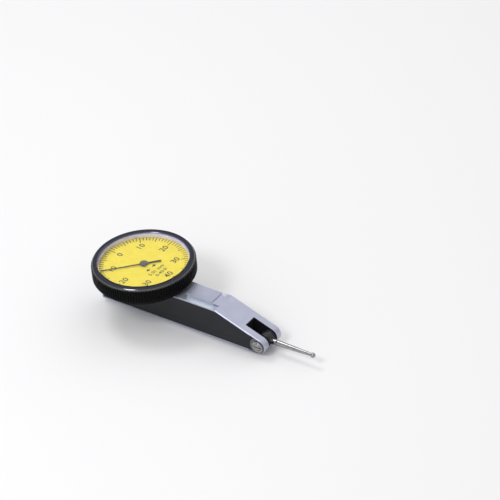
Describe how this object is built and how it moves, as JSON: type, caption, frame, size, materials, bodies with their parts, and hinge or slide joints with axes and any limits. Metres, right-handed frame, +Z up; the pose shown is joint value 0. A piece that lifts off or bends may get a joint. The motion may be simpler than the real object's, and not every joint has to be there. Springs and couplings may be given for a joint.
{
  "type": "dial test indicator",
  "caption": "Horizontal lever gauge: a round knurled dial on a slim sloping body with dovetail rails and a ball-tipped contact point in a fork.",
  "frame": {"origin": "under the dial's centre, on the face of the bottom dovetail rail that the gauge stands on", "axes": "+X from the dial towards the contact point, +Z up along the dial's axis, +Y to the side that the sector gear is furthest from"},
  "size_m": [0.0967, 0.04, 0.0224],
  "materials": {
    "satin_chrome": "satin chrome plate on steel",
    "polished_steel": "polished steel",
    "black_chrome": "glossy black plate",
    "charcoal": "smooth charcoal enamel",
    "dial_yellow": "printed yellow lacquer on aluminium",
    "crystal": "clear polished",
    "brass": "fine brushed",
    "blued_steel": "blued",
    "ruby": "polished synthetic ruby",
    "hand_grey": "satin dark lacquer on aluminium"
  },
  "bodies": {
    "housing": {"frame": "satin_chrome", "near_side_cover": "charcoal", "far_side_cover": "charcoal", "cover_screws": "polished_steel", "movement_plate": "brass", "plate_pillars": "brass", "plate_screws": "blued_steel", "plate_jewels": "ruby", "wall_jewels": "ruby", "centre_cock": "brass", "centre_cock_screw": "blued_steel", "centre_lower_jewel": "ruby", "dial_case": "black_chrome", "dial_case_screws": "blued_steel", "centre_bridge": "brass", "centre_bridge_screws": "blued_steel", "centre_upper_jewel": "ruby", "hairspring": "blued_steel", "hairspring_stud": "blued_steel", "bezel_snap_ring": "polished_steel", "pivot_screws": "polished_steel", "pivot_locknuts": "polished_steel"},
    "dial_head": {"bezel": "black_chrome", "dial_face": "dial_yellow", "dial_retaining_ring": "satin_chrome", "crystal": "crystal"},
    "lever": {"pivot_axle": "polished_steel", "lever_arm": "black_chrome", "lever_pin": "polished_steel", "lever_pin_jewel": "ruby", "friction_washer": "brass"},
    "contact_point": {"contact_holder": "black_chrome", "contact_stem": "polished_steel", "contact_ball": "polished_steel"},
    "sector": {"sector_arbor": "polished_steel", "sector_gear": "brass"},
    "crown": {"crown_arbor": "polished_steel", "crown_gear": "brass"},
    "hand": {"centre_arbor": "polished_steel", "hairspring_collet": "brass", "pointer": "hand_grey", "pointer_cap": "hand_grey"}
  },
  "joints": [
    {"name": "lever_swing", "type": "hinge", "parent": "housing", "child": "lever", "pos_m": [0.0548, 0, 0.0047], "axis": [0, 1, 0], "range_deg": [-1.15, 1.15], "stiffness_Nm_per_rad": 0.2},
    {"name": "contact_set", "type": "hinge", "parent": "lever", "child": "contact_point", "pos_m": [0.0548, 0, 0.0047], "axis": [0, 1, 0], "range_deg": [-120, 120]},
    {"name": "bezel_turn", "type": "hinge", "parent": "housing", "child": "dial_head", "pos_m": [0, 0, 0.019], "axis": [0, 0, 1], "continuous": true},
    {"name": "sector_swing", "type": "hinge", "parent": "housing", "child": "sector", "pos_m": [0.015, 0, 0.00815], "axis": [0, 1, 0], "range_deg": [-4.6, 4.6]},
    {"name": "crown_turn", "type": "hinge", "parent": "housing", "child": "crown", "pos_m": [0, 0, 0.00815], "axis": [0, 1, 0], "range_deg": [-41.4, 41.4]},
    {"name": "pointer_turn", "type": "hinge", "parent": "housing", "child": "hand", "pos_m": [0, 0, 0.0194], "axis": [0, 0, 1], "range_deg": [-193, 193]}
  ],
  "couplings": [
    {"joint": "sector_swing", "follows": "lever_swing", "ratio": -3.9083},
    {"joint": "crown_turn", "follows": "lever_swing", "ratio": 35.175},
    {"joint": "pointer_turn", "follows": "lever_swing", "ratio": -164.15}
  ]
}
